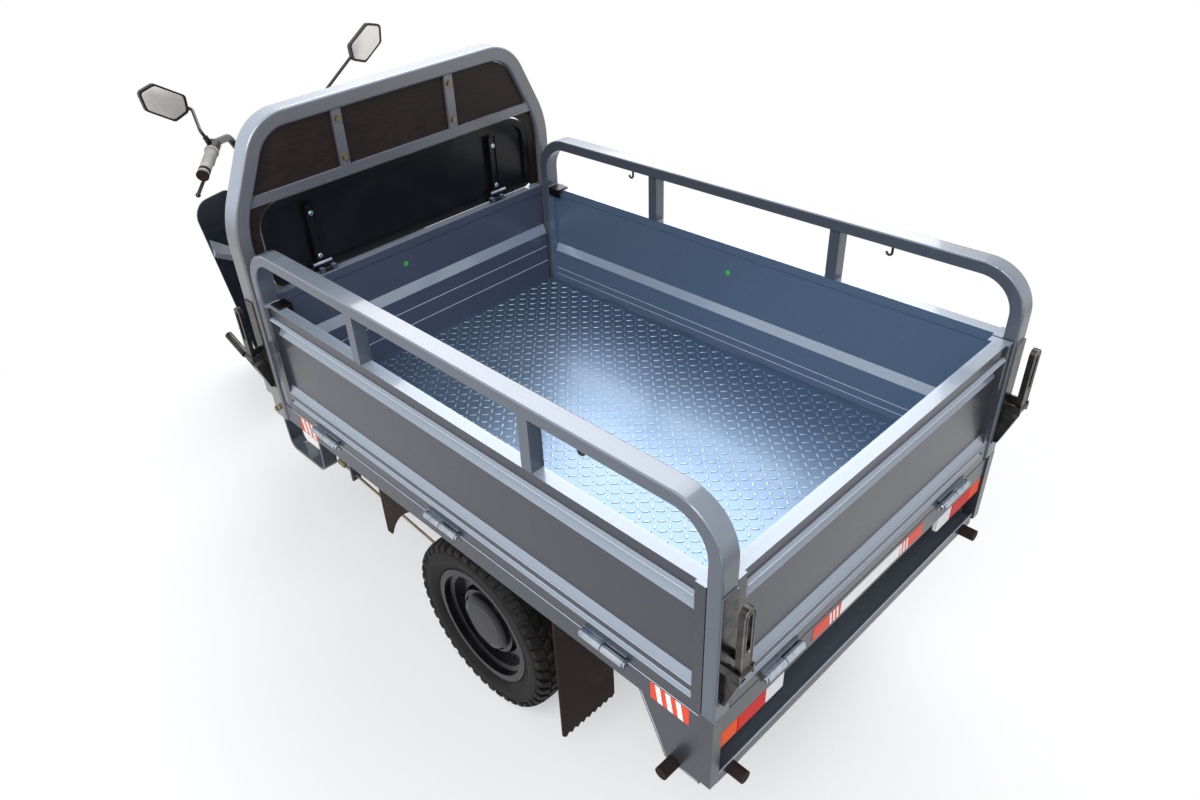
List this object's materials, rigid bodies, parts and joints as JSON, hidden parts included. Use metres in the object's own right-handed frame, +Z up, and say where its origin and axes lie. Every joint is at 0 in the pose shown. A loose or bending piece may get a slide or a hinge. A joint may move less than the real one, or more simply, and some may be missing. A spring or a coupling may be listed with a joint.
{
  "type": "cargo tricycle",
  "caption": "Three-wheeled cargo tricycle with drop-side bed, guard rails, headboard hoop, working latches, sprung axle and fork, and full steering.",
  "frame": {"origin": "on the ground under the middle of the overall length and width", "axes": "+X forward along the vehicle, +Y to the rider's left, +Z up"},
  "size_m": [2.929, 1.138, 1.395],
  "materials": {
    "body_paint": "metallic anthracite gloss",
    "frame_paint": "dark satin paint",
    "floor_plate": "painted checker plate",
    "film_board": "brown-black film-faced board",
    "black_rubber": "black rubber",
    "black_plastic": "black moulded plastic",
    "lamp_red": "clear coloured lens plastic",
    "shield_plastic": "dark blue-black gloss plastic",
    "bare_aluminium": "bare cast aluminium",
    "zinc_steel": "zinc plated steel",
    "latch_black": "black coated steel",
    "yellow_zinc": "yellow zinc plated steel",
    "cast_black": "black painted casting",
    "spring_steel": "black painted spring steel",
    "tyre_rubber": "black tyre rubber",
    "rim_black": "black painted steel rim",
    "fork_steel": "chromed steel",
    "grip_rubber": "pale grey moulded grip",
    "seat_cover": "black leatherette cover",
    "gloss_black": "gloss black panel"
  },
  "bodies": {
    "chassis": {"chassis_frame": "frame_paint", "front_frame": "frame_paint", "bed_floor": "floor_plate", "front_board": "body_paint", "headboard_hoop": "body_paint", "hoop_crossbar": "body_paint", "upper_back_panel": "film_board", "rear_posts": "body_paint", "rear_bumper": "body_paint", "rubber_buffers": "black_rubber", "tail_lamp_housings": "black_plastic", "tail_lamp_lenses": "lamp_red", "mudflaps": "black_rubber", "side_steps": "frame_paint", "floorboard": "frame_paint", "legshield": "shield_plastic", "seat_base": "body_paint", "battery_pack": "black_plastic", "motor_controller": "bare_aluminium", "fixed_hinge_leaves": "zinc_steel", "front_latch_bases": "latch_black", "frame_bolts": "yellow_zinc"},
    "left_side": {"left_side_panel": "body_paint", "left_rail": "body_paint", "left_hinge_leaves": "zinc_steel"},
    "right_side": {"right_side_panel": "body_paint", "right_rail": "body_paint", "right_hinge_leaves": "zinc_steel"},
    "tailgate": {"tailgate_panel": "body_paint", "tailgate_hinge_leaves": "zinc_steel"},
    "rear_left_lever": {"rear_left_latch": "latch_black"},
    "rear_right_lever": {"rear_right_latch": "latch_black"},
    "front_left_lever": {"front_left_latch": "latch_black"},
    "front_right_lever": {"front_right_latch": "latch_black"},
    "rear_axle": {"axle_housing": "cast_black", "drive_motor": "bare_aluminium", "leaf_springs": "spring_steel"},
    "left_rear_wheel": {"left_rear_tyre": "tyre_rubber", "left_rear_rim": "rim_black"},
    "right_rear_wheel": {"right_rear_tyre": "tyre_rubber", "right_rear_rim": "rim_black"},
    "steering": {"fork_yokes": "fork_steel", "handlebar": "latch_black", "left_grip": "grip_rubber", "headlight": "black_plastic"},
    "fork_lower": {"fork_sliders": "bare_aluminium", "front_mudguard": "shield_plastic"},
    "front_wheel": {"front_tyre": "tyre_rubber", "front_rim": "rim_black"},
    "left_lever": {"left_brake_lever": "bare_aluminium"},
    "right_lever": {"right_brake_lever": "bare_aluminium"},
    "throttle": {"throttle_grip": "grip_rubber"},
    "left_mirror_body": {"left_mirror": "black_plastic"},
    "right_mirror_body": {"right_mirror": "black_plastic"},
    "seat": {"seat_cushion": "seat_cover"},
    "backrest": {"backrest_panel": "gloss_black", "backrest_pad": "seat_cover"},
    "park_lever": {"parking_lever": "latch_black"},
    "foot_pedal": {"brake_pedal": "latch_black"},
    "pull_rod": {"brake_rod": "yellow_zinc"}
  },
  "joints": [
    {"name": "left_side_drop", "type": "hinge", "parent": "chassis", "child": "left_side", "pos_m": [-0.6545, 0.5295, 0.633], "axis": [-1, 0, 0], "range_deg": [0, 175]},
    {"name": "right_side_drop", "type": "hinge", "parent": "chassis", "child": "right_side", "pos_m": [-0.6545, -0.5295, 0.633], "axis": [1, 0, 0], "range_deg": [0, 175]},
    {"name": "tailgate_drop", "type": "hinge", "parent": "chassis", "child": "tailgate", "pos_m": [-1.426, 0, 0.633], "axis": [0, -1, 0], "range_deg": [0, 175]},
    {"name": "rear_left_latch_swing", "type": "hinge", "parent": "left_side", "child": "rear_left_lever", "pos_m": [-1.4545, 0.4975, 0.79], "axis": [0, -1, 0], "range_deg": [0, 120]},
    {"name": "rear_right_latch_swing", "type": "hinge", "parent": "right_side", "child": "rear_right_lever", "pos_m": [-1.4545, -0.4975, 0.79], "axis": [0, -1, 0], "range_deg": [0, 120]},
    {"name": "front_left_latch_swing", "type": "hinge", "parent": "chassis", "child": "front_left_lever", "pos_m": [0.0995, 0.559, 0.79], "axis": [-1, 0, 0], "range_deg": [0, 120]},
    {"name": "front_right_latch_swing", "type": "hinge", "parent": "chassis", "child": "front_right_lever", "pos_m": [0.0995, -0.559, 0.79], "axis": [1, 0, 0], "range_deg": [0, 120]},
    {"name": "rear_suspension", "type": "slide", "parent": "chassis", "child": "rear_axle", "axis": [0, 0, 1], "range_m": [-0.008, 0.05], "stiffness_N_per_m": 120000, "springref_m": -0.0123, "deforming": ["leaf_springs"]},
    {"name": "left_rear_wheel_spin", "type": "hinge", "parent": "rear_axle", "child": "left_rear_wheel", "pos_m": [-0.6525, 0.425, 0.245], "axis": [0, 1, 0], "continuous": true},
    {"name": "right_rear_wheel_spin", "type": "hinge", "parent": "rear_axle", "child": "right_rear_wheel", "pos_m": [-0.6525, -0.425, 0.245], "axis": [0, 1, 0], "continuous": true},
    {"name": "steering_turn", "type": "hinge", "parent": "chassis", "child": "steering", "pos_m": [0.93421, 0, 0.77399], "axis": [-0.4226, 0, 0.9063], "range_deg": [-38, 38]},
    {"name": "fork_slide", "type": "slide", "parent": "steering", "child": "fork_lower", "axis": [-0.4226, 0, 0.9063], "range_m": [-0.02, 0.06], "stiffness_N_per_m": 30000, "springref_m": -0.018},
    {"name": "front_wheel_spin", "type": "hinge", "parent": "fork_lower", "child": "front_wheel", "pos_m": [1.2195, 0, 0.245], "axis": [0, 1, 0], "continuous": true},
    {"name": "left_brake_squeeze", "type": "hinge", "parent": "steering", "child": "left_lever", "pos_m": [0.62608, 0.31275, 1.14743], "axis": [0.5158, 0.7232, 0.4594], "range_deg": [0, 13], "stiffness_Nm_per_rad": 1.5, "springref_deg": -14.32},
    {"name": "right_brake_squeeze", "type": "hinge", "parent": "steering", "child": "right_lever", "pos_m": [0.62608, -0.31275, 1.14743], "axis": [-0.5158, 0.7232, -0.4594], "range_deg": [0, 13], "stiffness_Nm_per_rad": 1.5, "springref_deg": -14.32},
    {"name": "throttle_twist", "type": "hinge", "parent": "steering", "child": "throttle", "pos_m": [0.51955, -0.388, 1.14857], "axis": [-0.6841, -0.6704, -0.2873], "range_deg": [0, 70], "stiffness_Nm_per_rad": 0.4, "springref_deg": -14.32},
    {"name": "left_mirror_turn", "type": "hinge", "parent": "steering", "child": "left_mirror_body", "pos_m": [0.6037, 0.3159, 1.20808], "axis": [0, 0.3939, 0.9191], "range_deg": [-20, 20]},
    {"name": "right_mirror_turn", "type": "hinge", "parent": "steering", "child": "right_mirror_body", "pos_m": [0.76614, -0.1612, 1.14071], "axis": [0.5094, 0.5403, 0.6698], "range_deg": [-20, 20]},
    {"name": "seat_lift", "type": "hinge", "parent": "chassis", "child": "seat", "pos_m": [0.5445, 0, 0.695], "axis": [0, 1, 0], "range_deg": [0, 40]},
    {"name": "backrest_fold", "type": "hinge", "parent": "chassis", "child": "backrest", "pos_m": [0.0695, 0, 0.961], "axis": [0, -1, 0], "range_deg": [0, 60]},
    {"name": "parking_lever_swing", "type": "hinge", "parent": "chassis", "child": "park_lever", "pos_m": [0.1575, 0.505, 0.65], "axis": [0, 1, 0], "range_deg": [0, 35]},
    {"name": "brake_rod_pull", "type": "slide", "parent": "chassis", "child": "pull_rod", "axis": [-0.9545, -0.1019, -0.2802], "range_m": [0, 0.02]},
    {"name": "foot_brake_press", "type": "hinge", "parent": "chassis", "child": "foot_pedal", "pos_m": [0.5695, -0.2, 0.392], "axis": [0, 1, 0], "range_deg": [0, 20], "stiffness_Nm_per_rad": 12, "springref_deg": -17.19}
  ],
  "couplings": [
    {"joint": "brake_rod_pull", "follows": "parking_lever_swing", "m_per_rad": 0.032}
  ]
}
